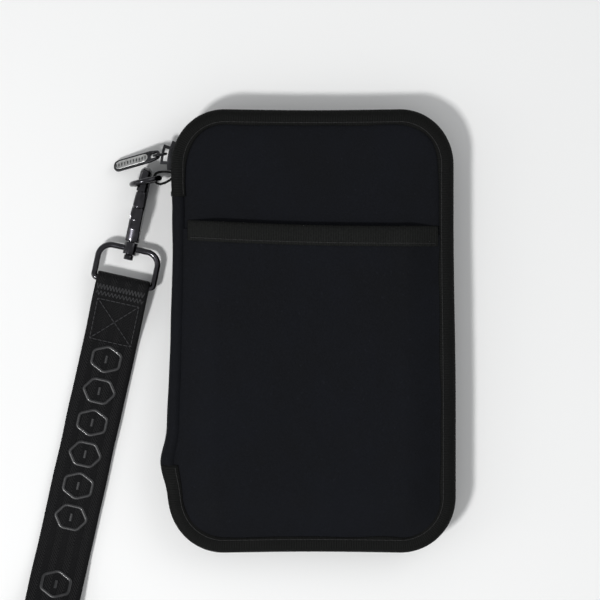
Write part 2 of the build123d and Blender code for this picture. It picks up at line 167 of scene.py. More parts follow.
def put_mesh(name, points, faces, uv, material):
    """A smooth mesh object from points and UV in millimetres, its faces turned so that the volume that
    they enclose comes out positive."""
    points = np.asarray(points, float).reshape(-1, 3)
    a, b, c, d = (points[faces[:, k]] for k in range(4))
    volume = (np.cross(a, b) * c).sum() + (np.cross(a, c) * d).sum()
    if volume < 0:
        faces = faces[:, ::-1]
    mesh = bpy.data.meshes.new(name)
    mesh.from_pydata((points * MM).tolist(), [], faces.tolist())
    mesh.polygons.foreach_set("use_smooth", np.ones(len(mesh.polygons), bool))
    corner = np.empty(len(mesh.loops), np.int32)
    mesh.loops.foreach_get("vertex_index", corner)
    layer = mesh.uv_layers.new(name="UVMap")
    layer.data.foreach_set("uv", (np.asarray(uv).reshape(-1, 2)[corner] * MM).ravel())
    mesh.materials.append(material)
    piece = bpy.data.objects.new(name, mesh)
    bpy.context.scene.collection.objects.link(piece)
    return piece


def carried(name, sections, lengths, material, closed=False):
    """Skin over a run of closed loops, one loop a row. The UV is the length along the run and round the
    loop."""
    around = np.linalg.norm(np.diff(sections[0], axis=0, prepend=sections[0][:1]), axis=1).cumsum()
    uv = np.stack(np.broadcast_arrays(np.asarray(lengths)[:, None], around[None, :]), -1)
    return put_mesh(name, sections, skin_faces(*sections.shape[:2], closed), uv, material)


def slab(name, top, under, material, uv=None):
    """Closed sheet between an upper and a lower grid of the same shape. The UV is the plan position, or
    is given for each point of the upper grid."""
    loop = np.concatenate([top, under[:, ::-1]], 1)
    uv = loop[..., :2] if uv is None else np.concatenate([uv, uv[:, ::-1]], 1)
    return put_mesh(name, loop, skin_faces(*loop.shape[:2]), uv, material)


def along_path(path, closed=False):
    """Unit tangents of a path by central differences, and the length run at each point."""
    if closed:
        tangent = np.roll(path, -1, 0) - np.roll(path, 1, 0)
    else:
        tangent = np.gradient(path, axis=0)
    tangent = tangent / np.linalg.norm(tangent, axis=1, keepdims=True)
    steps = np.linalg.norm(np.diff(path, axis=0), axis=1)
    return tangent, np.concatenate([[0.0], steps.cumsum()])


def tube(name, path, radius, up, material, closed=False, sides=8, flat=1.0):
    """Round or flattened section carried along a path: point plus radius times a turning direction made
    of the side vector (tangent cross up) and up, the latter times flat."""
    tangent, length = along_path(path, closed)
    side = np.cross(tangent, np.broadcast_to(up, tangent.shape))
    side /= np.linalg.norm(side, axis=1, keepdims=True)
    rise = np.cross(side, tangent)
    turn = np.arange(sides) * 2 * pi / sides
    ring = np.cos(turn)[None, :, None] * side[:, None] + flat * np.sin(turn)[None, :, None] * rise[:, None]
    return carried(name, path[:, None] + radius * ring, length, material, closed)


def joined(name, pieces):
    """One object from several, with their materials kept."""
    with bpy.context.temp_override(active_object=pieces[0], object=pieces[0], selected_objects=pieces,
                                   selected_editable_objects=pieces):
        bpy.ops.object.join()
    pieces[0].name = pieces[0].data.name = name
    return pieces[0]


def softened(node, name, width, material):
    """Copy of a CAD node with its edges rounded off by a small bevel."""
    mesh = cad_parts[node].data.copy()
    shape = bmesh.new()
    shape.from_mesh(mesh)
    shape.transform(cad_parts[node].matrix_world)
    bmesh.ops.remove_doubles(shape, verts=shape.verts, dist=0.01 * MM)
    bmesh.ops.dissolve_limit(shape, angle_limit=radians(1.0), verts=shape.verts, edges=shape.edges)
    shape.to_mesh(mesh)
    shape.free()
    mesh.materials.clear()
    mesh.materials.append(material)
    piece = bpy.data.objects.new(name, mesh)
    bpy.context.scene.collection.objects.link(piece)
    bevel = piece.modifiers.new("Bevel", "BEVEL")
    bevel.width, bevel.segments, bevel.limit_method = width * MM, 3, "ANGLE"
    bevel.angle_limit, bevel.harden_normals = radians(28), True
    bevel.use_clamp_overlap = True
    mesh.polygons.foreach_set("use_smooth", np.ones(len(mesh.polygons), bool))
    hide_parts(node)
    return piece


def placed(piece, body, slot, *nodes):
    """The piece rides on its body and stands for the CAD nodes named. Its slot is not used."""
    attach(piece, body)
    if nodes:
        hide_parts(*nodes)
    return piece


# ---- shapes ----

def smooth(t):
    """Rises from 0 to 1 with level ends: three times the square less twice the cube."""
    t = np.clip(t, 0.0, 1.0)
    return t * t * (3 - 2 * t)


def ripple(x, y, length, seed):
    """Six plane waves of seeded direction and phase, added: an uneven surface between about -1 and 1."""
    draw = np.random.default_rng(seed)
    turns, phases, stretches = draw.uniform(0, pi, 6), draw.uniform(0, 2 * pi, 6), draw.uniform(0.7, 1.5, 6)
    total = 0.0
    for turn, phase, stretch in zip(turns, phases, stretches):
        total = total + np.sin((x * cos(turn) + y * sin(turn)) * 2 * pi / (length * stretch) + phase)
    return total / 3.5


def turned(z, front):
    """The height on the front half, or the same height mirrored for the back half."""
    return z if front else RIM - z


def settled(points):
    """The sewn shell's lean: the spine side goes in over its upper part and swells where the zipper
    starts below, the free side goes in a little above, and each fades to nothing at the middle."""
    points = np.array(points, float)
    x, y = points[..., 0].copy(), points[..., 1]
    left, right = np.clip(-x / HALF_W, 0, 1) ** 3, np.clip(x / HALF_W, 0, 1) ** 3
    lean = 1.9 * smooth((y + 48) / 90) * (1 - 0.35 * smooth((y - 55) / 15))
    swell = 3.6 * np.exp(-((y + 61) / 10.5) ** 2) + 0.5 * np.exp(-((y + 38) / 12) ** 2)
    points[..., 0] = x + left * (lean - swell) - right * 1.0 * smooth((y + 35) / 85)
    points[..., 1] = y * (1 - 0.0035 * np.cos(x / 22.0) * smooth(np.abs(y) / HALF_H))
    return points


def rim(run, inset):
    """Points on the rounded outline, drawn in by an inset, at lengths run clockwise from the middle of
    the spine side: straight runs and quarter circles in turn."""
    run, inset = np.broadcast_arrays(np.asarray(run, float), np.asarray(inset, float))
    spans = np.array([RUN_Y, QUARTER, 2 * RUN_X, QUARTER, 2 * RUN_Y, QUARTER, 2 * RUN_X, QUARTER, RUN_Y])
    starts = np.concatenate([[0.0], spans.cumsum()[:-1]])
    k = np.clip(np.searchsorted(spans.cumsum(), run, side="right"), 0, 8)
    core_x = np.array([-1, -1, -1, 1, 1, 1, 1, -1, -1])[k] * RUN_X
    core_y = np.array([0, 1, 1, 1, 1, -1, -1, -1, -1])[k] * RUN_Y
    facing = np.array([2, 2, 1, 1, 0, 0, -1, -1, -2])[k] * pi / 2
    past = run - starts[k]
    arc = k % 2 == 1
    facing = facing - np.where(arc, past / CORNER, 0.0)
    step = np.where(arc, 0.0, past)
    x = core_x + (CORNER - inset) * np.cos(facing) + step * np.sin(facing)
    y = core_y + (CORNER - inset) * np.sin(facing) - step * np.cos(facing)
    return x, y


def round_rim(name, profile, start, end, material, front, step, wobble=0.0):
    """A closed profile of (inset, height) pairs carried along the outline between two lengths, and
    mirrored for the back half. Its top and its inner edge waver by a share of an uneven wave."""
    run = np.linspace(start, end, int((end - start) / step))
    profile = np.array(profile, float)
    waver = 3.2 * wobble * ripple(run, 0.0, 30, 8)[:, None] * smooth((profile[None, :, 0] - 4.0) / 3.0)
    x, y = rim(run[:, None], profile[None, :, 0] + waver)
    rise = wobble * ripple(run[:, None], profile[None, :, 0] * 4, 17, 5)
    z = profile[None, :, 1] + rise * (profile[None, :, 1] > RIM - 2.2)
    z = np.broadcast_to(turned(z if front else np.minimum(z, RIM - 0.03), front), x.shape)
    return carried(name, settled(np.stack([x, y, z], -1)), run, material)


def reach(y, half_x, half_y, corner):
    """Half-width of a rounded rectangle at a height y, by Pythagoras where its corners turn."""
    into = np.clip(np.abs(y) - (half_y - corner), 0, corner)
    return half_x - corner + np.sqrt(np.maximum(corner ** 2 - into ** 2, 0))


def plan(inset, y_low, y_high, rows, columns):
    """Grid over the rounded outline drawn in by an inset: rows of y packed towards the ends, and in each
    row x from edge to edge. Also gives each point's distance from the outline."""
    half_x, half_y, corner = HALF_W - inset, HALF_H - inset, CORNER - inset
    t, last = np.linspace(-1, 1, rows), pi / 2 * 0.985
    y = (y_low + y_high) / 2 + (y_high - y_low) / 2 * np.sin(t * last) / sin(last)
    width = reach(y, half_x, half_y, corner)
    s = np.linspace(-1, 1, columns)
    s = 0.45 * s + 0.55 * np.sin(s * pi / 2)
    x, y = np.broadcast_arrays(width[:, None] * s[None, :], y[:, None])
    return x, y, within(x, y, half_x, half_y, corner)


def within(x, y, half_x, half_y, corner):
    """Distance inside a rounded rectangle's edge: negative of its signed distance."""
    over_x, over_y = np.abs(x) - (half_x - corner), np.abs(y) - (half_y - corner)
    outside = np.hypot(np.maximum(over_x, 0), np.maximum(over_y, 0))
    return corner - outside - np.minimum(np.maximum(over_x, over_y), 0)


def plate(name, node, corner, material, waves=0.05):
    """Thin cloth over a flat CAD plate: a rounded outline, a rolled edge that thins by a smooth step of
    the distance from it, and small waves."""
    low, high = corners(node)
    half_x, half_y = (high[0] - low[0]) / 2, (high[1] - low[1]) / 2
    mid_x, mid_y = (high[0] + low[0]) / 2, (high[1] + low[1]) / 2
    t = np.sin(np.linspace(-1, 1, 90) * pi / 2)
    width = reach(t * half_y, half_x, half_y, corner)
    s = np.sin(np.linspace(-1, 1, 70) * pi / 2)
    x, y = np.broadcast_arrays(width[:, None] * s[None, :], (t * half_y)[:, None])
    edge = smooth(within(x, y, half_x, half_y, corner) / 1.2)
    wave = waves * ripple(x, y, 38, len(node)) * edge
    mid, half = (high[2] + low[2]) / 2, (high[2] - low[2]) / 2 * (0.35 + 0.65 * edge)
    top = np.stack([x + mid_x, y + mid_y, mid + half + wave], -1)
    under = np.stack([x + mid_x, y + mid_y, mid - half + wave], -1)
    return slab(name, top, under, material)


# ---- finishes ----

class Finish:
    """A material being wired: keeps its tree, its shader and short calls for the nodes it uses."""

    def __init__(self, name, colour, rough, metal=0.0, sheen=0.0, coat=0.0, specular=0.5):
        self.material = bpy.data.materials.new(name)
        self.material.use_nodes = True
        self.tree = self.material.node_tree
        self.shader = self.tree.nodes["Principled BSDF"]
        inputs = self.shader.inputs
        inputs["Base Color"].default_value = (*colour, 1)
        inputs["Roughness"].default_value = rough
        inputs["Metallic"].default_value = metal
        inputs["Sheen Weight"].default_value = sheen
        inputs["Sheen Roughness"].default_value = 0.45
        inputs["Coat Weight"].default_value = coat
        inputs["Specular IOR Level"].default_value = specular
        self.material.diffuse_color = (*colour, 1)

    def node(self, kind, **settings):
        """A new node with its settings made."""
        made = self.tree.nodes.new(kind)
        for key, value in settings.items():
            setattr(made, key, value)
        return made

    def plug(self, value, socket):
        """Sets a socket to a value, or links it to another node's output."""
        if isinstance(value, (int, float, tuple)):
            socket.default_value = value
        else:
            self.tree.links.new(value, socket)

    def maths(self, operation, a, b=0.0, c=0.0):
        """One sum on up to three entries."""
        made = self.node("ShaderNodeMath", operation=operation)
        for value, socket in zip((a, b, c), made.inputs):
            self.plug(value, socket)
        return made.outputs[0]

    def where(self, uv=False):
        """Place on the piece: its own UV, or its Object coordinates."""
        return self.node("ShaderNodeTexCoord").outputs["UV" if uv else "Object"]

    def split(self, vector):
        """The three parts of a vector."""
        made = self.node("ShaderNodeSeparateXYZ")
        self.plug(vector, made.inputs[0])
        return made.outputs

    def noise(self, vector, scale, detail=2.0, rough=0.5):
        """Uneven value between 0 and 1, of so many grains to the metre."""
        made = self.node("ShaderNodeTexNoise")
        self.plug(vector, made.inputs["Vector"])
        made.inputs["Scale"].default_value = scale
        made.inputs["Detail"].default_value = detail
        made.inputs["Roughness"].default_value = rough
        return made.outputs["Fac"]

    def spread(self, value, low, high, new_low, new_high):
        """The value's range stretched to a new one, and cut off at its ends."""
        made = self.node("ShaderNodeMapRange")
        for entry, socket in zip((value, low, high, new_low, new_high), made.inputs):
            self.plug(entry, socket)
        return made.outputs[0]

    def blend_colours(self, factor, low, high):
        """A colour between two, by a factor from 0 to 1."""
        made = self.node("ShaderNodeMix", data_type="RGBA")
        self.plug(factor, made.inputs["Factor"])
        made.inputs["A"].default_value = (*low, 1)
        made.inputs["B"].default_value = (*high, 1)
        return made.outputs["Result"]

    def relief(self, height, distance, strength, onto=None):
        """Bumps of a height in metres on the shader's normal, over an earlier relief if one is given."""
        made = self.node("ShaderNodeBump")
        made.inputs["Strength"].default_value = strength
        made.inputs["Distance"].default_value = distance
        self.plug(height, made.inputs["Height"])
        if onto is not None:
            self.plug(onto, made.inputs["Normal"])
        self.plug(made.outputs["Normal"], self.shader.inputs["Normal"])
        return made.outputs["Normal"]

    def colour(self, output):
        """Gives the shader its colour."""
        self.plug(output, self.shader.inputs["Base Color"])

    def rough(self, output):
        """Gives the shader its roughness."""
        self.plug(output, self.shader.inputs["Roughness"])


def shade(colour, factor):
    """The colour made lighter or darker."""
    return tuple(min(1.0, part * factor) for part in colour)


def foam_cloth(colour):
    """Matt knit face: fine grain in colour and relief, soft clouding and a few specks of lint."""
    f = Finish("foam_cloth", colour, 0.82, specular=0.10)
    at = f.where()
    grain = f.noise(at, 1500, 2.0, 0.7)
    cloud = f.noise(at, 34, 3.0, 0.6)
    lint = f.spread(f.noise(at, 620, 1.0), 0.70, 0.80, 0.0, 0.6)
    tone = f.maths("ADD", f.spread(grain, 0.3, 0.7, 0.0, 0.45), f.spread(cloud, 0.35, 0.65, 0.0, 0.35))
    f.colour(f.blend_colours(f.maths("ADD", tone, lint), shade(colour, 0.62), shade(colour, 1.75)))
    f.rough(f.spread(cloud, 0.3, 0.7, 0.76, 0.9))
    first = f.relief(grain, 0.00016, 0.55)
    f.relief(f.noise(at, 420, 2.0), 0.00012, 0.35, first)
    return f.material


def ribbed_tape(name, colour, pitch, depth=0.00016):
    """Grosgrain: ribs across the tape, from its UV length, broken by fine thread grain."""
    f = Finish(name, colour, 0.72, sheen=0.01, specular=0.12)
    at = f.where(uv=True)
    length = f.split(at)[0]
    rib = f.maths("SINE", f.maths("MULTIPLY", length, 2 * pi / (pitch * MM)))
    rib = f.maths("MULTIPLY_ADD", rib, 0.5, 0.5)
    grain = f.noise(f.where(), 1300, 2.0, 0.6)
    height = f.maths("ADD", rib, f.maths("MULTIPLY", grain, 0.5))
    tone = f.maths("ADD", f.maths("MULTIPLY", rib, 0.25), f.spread(grain, 0.3, 0.7, 0.0, 0.7))
    f.colour(f.blend_colours(tone, shade(colour, 0.5), shade(colour, 1.7)))
    f.relief(height, depth, 0.8)
    return f.material


def herringbone(name, colour, pitch, column, depth=0.0003):
    """Twill in herringbone: slanted ridges whose slant turns over from one column to the next."""
    f = Finish(name, colour, 0.60, sheen=0.01, specular=0.16)
    along, across, _ = f.split(f.where(uv=True))
    zigzag = f.maths("PINGPONG", across, column * MM)
    slant = f.maths("MULTIPLY_ADD", zigzag, 1.15, along)
    ridge = f.maths("SINE", f.maths("MULTIPLY", slant, 2 * pi / (pitch * MM)))
    ridge = f.maths("MULTIPLY_ADD", ridge, 0.5, 0.5)
    turn = f.spread(f.maths("ABSOLUTE", f.maths("SUBTRACT", zigzag, column * MM / 2)),
                    column * MM * 0.40, column * MM * 0.5, 0.0, 0.35)
    grain = f.noise(f.where(), 1700, 2.0, 0.6)
    height = f.maths("SUBTRACT", f.maths("ADD", ridge, f.maths("MULTIPLY", grain, 0.4)), turn)
    tone = f.maths("ADD", f.maths("MULTIPLY", ridge, 0.6), f.spread(grain, 0.3, 0.7, 0.0, 0.4))
    f.colour(f.blend_colours(tone, shade(colour, 0.42), shade(colour, 1.9)))
    f.relief(height, depth, 0.9)
    return f.material


def plain_weave(name, colour, pitch):
    """Plain weave: over and under threads, as the product of two sine waves, with slub grain."""
    f = Finish(name, colour, 0.6, sheen=0.15, specular=0.4)
    at = f.where()
    x, y, _ = f.split(at)
    warp = f.maths("SINE", f.maths("MULTIPLY", x, pi / (pitch * MM)))
    weft = f.maths("SINE", f.maths("MULTIPLY", y, pi / (pitch * MM)))
    weave = f.maths("MULTIPLY_ADD", f.maths("MULTIPLY", warp, weft), 0.5, 0.5)
    slub = f.noise(at, 300, 3.0, 0.6)
    tone = f.maths("ADD", f.maths("MULTIPLY", weave, 0.5), f.spread(slub, 0.3, 0.7, 0.0, 0.5))
    f.colour(f.blend_colours(tone, shade(colour, 0.6), shade(colour, 1.5)))
    f.relief(weave, 0.00012, 0.6)
    return f.material


def net(name, colour):
    """Open knit net: round dark-edged holes in staggered rows, with raised strands between them."""
    f = Finish(name, colour, 0.55, specular=0.4)
    cells = f.node("ShaderNodeTexVoronoi", feature="F1", voronoi_dimensions="2D")
    f.plug(f.where(), cells.inputs["Vector"])
    cells.inputs["Scale"].default_value = 420
    cells.inputs["Randomness"].default_value = 0.18
    hole = f.spread(cells.outputs["Distance"], 0.30, 0.40, 0.0, 1.0)
    f.colour(f.blend_colours(hole, shade(colour, 0.25), shade(colour, 1.3)))
    f.relief(hole, 0.0002, 0.9)
    return f.material


def plated(name, colour, rough, coat=0.0):
    """Dark plating: rubbed patches in roughness and tone, and hairline scratches in relief."""
    f = Finish(name, colour, rough, metal=1.0, coat=coat)
    at = f.where()
    patch = f.noise(at, 210, 4.0, 0.65)
    stretched = f.node("ShaderNodeMapping")
    f.plug(at, stretched.inputs["Vector"])
    stretched.inputs["Scale"].default_value = (2600, 500, 1500)
    hair = f.noise(stretched.outputs[0], 1.0, 2.0, 0.7)
    rubbed = f.spread(patch, 0.35, 0.7, 0.0, 1.0)
    f.colour(f.blend_colours(rubbed, shade(colour, 0.75), shade(colour, 1.6)))
    f.rough(f.spread(patch, 0.3, 0.7, rough * 0.8, rough * 1.35))
    f.relief(hair, 0.00003, 0.5)
    return f.material


def nylon(name, colour, rough):
    """Satin moulded nylon with a faint mottled surface."""
    f = Finish(name, colour, rough, coat=0.15)
    mottle = f.noise(f.where(), 900, 2.0)
    clouded = f.spread(mottle, 0.3, 0.7, 0.0, 1.0)
    f.colour(f.blend_colours(clouded, shade(colour, 0.75), shade(colour, 1.35)))
    f.relief(mottle, 0.00004, 0.4)
    return f.material


def thread(name, colour):
    """Twisted sewing thread: fine slanted grain along each stitch, from its UV."""
    f = Finish(name, colour, 0.5, specular=0.3)
    along, around, _ = f.split(f.where(uv=True))
    twist = f.maths("SINE", f.maths("MULTIPLY", f.maths("ADD", along, around), 2 * pi / (0.45 * MM)))
    twist = f.maths("MULTIPLY_ADD", twist, 0.5, 0.5)
    f.colour(f.blend_colours(twist, shade(colour, 0.55), shade(colour, 1.5)))
    f.relief(twist, 0.00005, 0.6)
    return f.material


def painted_glint_face(name, colour):
    """Polished face of the pull, pale as a painted reflection of the light on the tab's glossy dark metal:
    short raised ribs across it, between rubbed bands.
    """
    f = Finish(name, colour, 0.30, metal=1.0)
    along, across, _ = f.split(f.where(uv=True))
    rib = f.maths("SINE", f.maths("MULTIPLY", along, 2 * pi / (1.5 * MM)))
    middle = f.spread(f.maths("ABSOLUTE", across), 0.0007, 0.0011, 1.0, 0.0)
    rib = f.maths("MULTIPLY", f.spread(rib, 0.1, 0.5, 0.0, 1.0), middle)
    patch = f.noise(f.where(), 500, 3.0, 0.6)
    tone = f.maths("ADD", f.maths("MULTIPLY", rib, 0.8), f.spread(patch, 0.4, 0.75, 0.0, 0.5))
    # The pale colour is a painted reflection of the light; the ribs and patches darken it.
    f.colour(f.blend_colours(tone, colour, shade(colour, 0.12)))
    f.relief(rib, 0.0002, 0.7)
    return f.material


MADE = {}


def finishes(context):
    """Makes every finish once, from the colours in the panel."""
    if not MADE:
        chosen = context.scene.pouch_colours
        foam, tape, webbing, lining, metal = (
            tuple(getattr(chosen, part)) for part in ("foam", "tape", "webbing", "lining", "metal"))
        MADE.update(
            foam=foam_cloth(foam),
            tape=ribbed_tape("binding_tape", tape, 1.15),
            mouth=ribbed_tape("mouth_tape", shade(tape, 2.0), 1.15),
            zipper_tape=herringbone("zipper_tape", (0.016, 0.016, 0.018), 1.0, 1.6, 0.00015),
            webbing=herringbone("webbing", webbing, 1.5, 3.1),
            lining=plain_weave("lining", lining, 0.5),
            mesh=net("mesh", (0.05, 0.05, 0.055)),
            elastic=ribbed_tape("elastic", (0.03, 0.03, 0.034), 1.6, 0.0002),
            coil=nylon("coil_nylon", (0.014, 0.014, 0.015), 0.38),
            zipper_metal=plated("zipper_metal", (0.022, 0.022, 0.024), 0.28, 0.3),
            pull=plated("pull_metal", (0.035, 0.035, 0.038), 0.25, 0.3),
            # The pull's face is pale as a painted reflection of the light on the glossy tab.
            face=painted_glint_face("pull_glint_face", (0.62, 0.62, 0.61)),
            metal=plated("dark_metal", metal, 0.20, 0.6),
            steel=plated("spring_steel", (0.45, 0.45, 0.46), 0.25),
            thread=thread("thread", (0.011, 0.011, 0.011)),
            strap_thread=thread("strap_thread", (0.026, 0.026, 0.028)),
            print=nylon("raised_print", (0.0065, 0.0065, 0.0075), 0.40),
        )
    return MADE


# ---- pieces ----

def stitches(name, path, normal, pitch, material, radius=0.2, depth=0.32):
    """Running stitch: a thread that follows a path and dips under the cloth between stitches. Its height
    is a raised cosine of the length, cut off so that most of each stitch lies on top."""
    _, length = along_path(path)
    count = max(int(round(length[-1] / pitch)), 1)
    steps_per_stitch = 10
    even = np.linspace(0, length[-1], count * steps_per_stitch + 1)
    point = np.stack([np.interp(even, length, path[:, k]) for k in range(3)], -1)
    wave = np.cos(even * 2 * pi * count / length[-1])
    point = point + np.asarray(normal) * (np.minimum(wave + 0.55, 0.35) * depth)[:, None]
    return tube(name, point, radius, normal, material, sides=6)


def cover(name, front, material, crown):
    """Foam panel of one cover. Its face rises from the sewn edge as 1 - exp(-distance / 5), with slow
    waves, and is thin where the binding grips it."""
    inset, edge_top, edge_under = 1.6, 18.25, 17.95
    x, y, inside = plan(inset, -HALF_H + inset, HALF_H - inset, 170, 130)
    grip = smooth((inside - 3.6) / 2.6)
    waves = 0.16 * ripple(x, y, 46, 11 if front else 12) + 0.05 * ripple(x, y, 15, 13)
    if front:
        full = 18.5 + crown * (1 - np.exp(-np.maximum(inside - 5.0, 0) / 5.0))
        top = edge_top + (full - edge_top) * grip + waves * smooth((inside - 7) / 8)
    else:
        top = np.minimum(18.2 + 1.75 * grip, FACE_LIMIT) + 0.04 * (waves - 0.2) * grip
    under = np.where(inside > 6.2, 16.5 if front else 17.0, edge_under)
    top, under = (settled(np.stack([x, y, turned(z, front)], -1)) for z in (top, under))
    return slab(name, top, under, material)


class POUCH_OT_covers(bpy.types.Operator):
    """Foam-cloth panels of the two covers"""
    bl_idname = "pouch.covers"
    bl_label = "Cover panels"

    def execute(self, context):
        made, crown = finishes(context), context.scene.pouch_sizes.crown / MM
        for side in ("back", "front"):
            piece = cover(f"{side}_cover", side == "front", made["foam"], crown)
            placed(piece, f"{side}_half", "foam_cloth", f"{side}_panel")
        return {"FINISHED"}


def pocket_height(x, y, rise):
    """Height of the pocket's face: sewn down on three sides, and swelling to its full rise in from them,
    least at the foot, as smooth steps of the distances from the sides and the foot."""
    side = smooth((POCKET_HIGH[0] + 0.6 - np.abs(x)) / 17) ** 0.8
    foot = smooth((y - POCKET_LOW[1] + 1.0) / 22) ** 0.8
    slack = 0.22 * ripple(x, y, 52, 21) + 0.10 * ripple(x, y, 19, 22)
    return 19.05 + rise * side * foot + slack * side * foot


def mouth_line(x):
    """Height up the pouch of the pocket's mouth: a little lower on the free side, with a slight sag."""
    return 45.8 - 1.4 * (x / POCKET_HIGH[0]) - 0.9 * (1 - (x / POCKET_HIGH[0]) ** 2)


class POUCH_OT_pocket(bpy.types.Operator):
    """Front slip pocket with its bound mouth"""
    bl_idname = "pouch.pocket"
    bl_label = "Front pocket"

    def execute(self, context):
        made, rise = finishes(context), context.scene.pouch_sizes.pocket_rise / MM
        inset = 5.4
        x, y, inside = plan(inset, -HALF_H + inset, POCKET_HIGH[1], 150, 120)
        y = y + (mouth_line(x) - POCKET_HIGH[1]) * smooth((y + 20) / 65)
        face = pocket_height(x, y, rise)
        thick = 0.5 + 1.3 * smooth((inside - 0.5) / 6)
        top, under = (settled(np.stack([x, y, z], -1)) for z in (face, face - thick))
        piece = slab("pocket_front", top, under, made["foam"])
        placed(piece, "front_half", "foam_cloth", "front_pocket")

        across = np.linspace(-POCKET_HIGH[0] + 0.4, POCKET_HIGH[0] - 0.4, 160)
        fold = np.array([(-5.2, 0.20), (-5.0, 0.62), (-3.4, 0.78), (0.0, 0.80), (2.6, 0.72), (3.9, 0.30),
                         (4.3, -0.5), (4.2, -1.3), (3.5, -2.1), (2.0, -2.5), (-0.6, -2.5), (-3.6, -2.5),
                         (-3.6, -2.05), (-0.6, -2.0), (2.0, -2.0), (3.0, -1.7), (3.6, -1.2), (3.65, -0.5),
                         (3.3, -0.05), (2.2, 0.15), (0.0, 0.2), (-2.0, 0.2), (-3.8, 0.2), (-4.9, 0.1)])
        drop = smooth((POCKET_HIGH[0] - np.abs(across)) / 12)[:, None]
        line = mouth_line(across)[:, None]
        x = np.broadcast_to(across[:, None], (len(across), len(fold)))
        y = line + fold[None, :, 0] - 0.2
        z = pocket_height(x, np.minimum(y, line), rise) + fold[None, :, 1] * (0.55 + 0.45 * drop)
        z = z + 0.10 * ripple(x, 0.0, 21, 31)
        band = carried("pocket_mouth_tape", settled(np.stack([x, y, z], -1)), across, made["mouth"])
        placed(band, "front_half", "binding_tape", "pocket_mouth_binding")
        seam = np.stack([across, mouth_line(across) - 3.9, np.zeros_like(across)], -1)
        seam[:, 2] = pocket_height(seam[:, 0], seam[:, 1], rise) + 0.80
        thread_row = stitches("pocket_mouth_stitching", settled(seam[2:-2]), (0, 0, 1),
                              context.scene.pouch_sizes.stitch / MM, made["thread"])
        placed(thread_row, "front_half", "binding_tape")
        return {"FINISHED"}


# The seam tape's section as (inset, height): its outer face from the cover round the rim, then its inner
# face back again.
BINDING_OUTER = ((7.35, 18.75), (7.25, 19.30), (6.6, 19.62), (5.4, 19.78), (4.2, 19.92), (3.0, 19.90),
                 (1.9, 19.60), (1.0, 19.05), (0.35, 18.35), (0.05, 17.60), (0.15, 16.95), (0.7, 16.45),
                 (1.6, 16.25), (2.4, 16.30))
BINDING_INNER = ((2.4, 16.85), (1.7, 16.85), (1.1, 17.05), (0.75, 17.5), (0.9, 18.0), (1.3, 18.5),
                 (2.0, 18.95), (2.8, 19.2), (3.6, 19.3), (4.4, 19.3), (5.2, 19.2), (6.0, 19.05),
                 (6.6, 18.85), (6.9, 18.6))


class POUCH_OT_bindings(bpy.types.Operator):
    """Seam bindings of both covers, with their rows of stitches"""
    bl_idname = "pouch.bindings"
    bl_label = "Seam bindings"

    def execute(self, context):
        made, pitch = finishes(context), context.scene.pouch_sizes.stitch / MM
        for side in ("back", "front"):
            front, body = side == "front", f"{side}_half"
            start, end = SPINE_END + 0.2, GIRTH - SPINE_END - 0.2
            band = round_rim(f"{side}_seam_tape", BINDING_OUTER + BINDING_INNER, start, end, made["tape"],
                             front, step=0.9, wobble=0.14)
            placed(band, body, "binding_tape", f"{side}_binding")
            run, seam = np.linspace(start + 1, end - 1, 900), 5.9
            x, y = rim(run, seam)
            # The back row is sunk a little deeper, clear of what the pouch lies on.
            z = np.full_like(x, 19.74 if front else 19.5) + 0.10 * ripple(run, seam * 4, 17, 5)
            path = settled(np.stack([x, y, turned(z, front)], -1))
            outward = (0, 0, 1 if front else -1)
            row = stitches(f"{side}_seam_stitching", path, outward, pitch, made["thread"])
            placed(row, body, "binding_tape")
        return {"FINISHED"}


class POUCH_OT_spine(bpy.types.Operator):
    """Foam-cloth spine: a middle wall and two rolls along the covers"""
    bl_idname = "pouch.spine"
    bl_label = "Spine"

    def execute(self, context):
        made = finishes(context)
        outer = np.array([(6.4, 17.6), (6.0, 18.6), (5.5, 19.1), (4.6, 19.65), (3.4, 19.85), (2.2, 19.55),
                          (1.2, 18.8), (0.45, 17.7), (0.1, 16.4), (0.0, 15.0)])
        inner = np.array([(2.4, 15.0), (2.5, 15.8), (2.6, 16.5), (2.9, 17.0), (3.3, 17.3), (3.8, 17.4),
                          (4.4, 17.3), (5.0, 17.1), (5.6, 16.9), (6.2, 16.8)])
        profile = np.concatenate([outer, inner])
        y = np.linspace(-SPINE_END - 0.8, SPINE_END + 0.8, 140)
        for side in ("back", "front"):
            z = profile[None, :, 1] + 0.12 * ripple(y[:, None], profile[None, :, 0], 26, 41)
            z = turned(np.minimum(z, FACE_LIMIT), side == "front")
            x = np.broadcast_to(-HALF_W + profile[None, :, 0], z.shape)
            points = settled(np.stack(np.broadcast_arrays(x, y[:, None], z), -1))
            roll = carried(f"spine_roll_{side}", points, y, made["foam"])
            if side == "front":
                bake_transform(roll)
            else:
                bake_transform(roll)
        low, high, thick = 4.4, 15.6, 2.3
        wall = np.array([(0.0, z) for z in np.linspace(low, high, 12)]
                        + [(thick, z) for z in np.linspace(high, low, 12)])
        bulge = 0.35 * np.sin((wall[:, 1] - low) / 11.2 * pi) * (wall[:, 0] < 1)
        x = -HALF_W + (wall[:, 0] - bulge)[None, :] + 0.12 * ripple(y[:, None], wall[None, :, 1], 30, 42)
        points = np.stack(np.broadcast_arrays(x, y[:, None], wall[None, :, 1]), -1)
        middle = carried("spine_wall", settled(points), y, made["foam"])
        placed(middle, "spine", "foam_cloth", "spine_panel")
        cloth = plate_upright("spine_inner_cloth", "spine_lining", made["lining"])
        placed(cloth, "spine", "lining", "spine_lining")
        return {"FINISHED"}


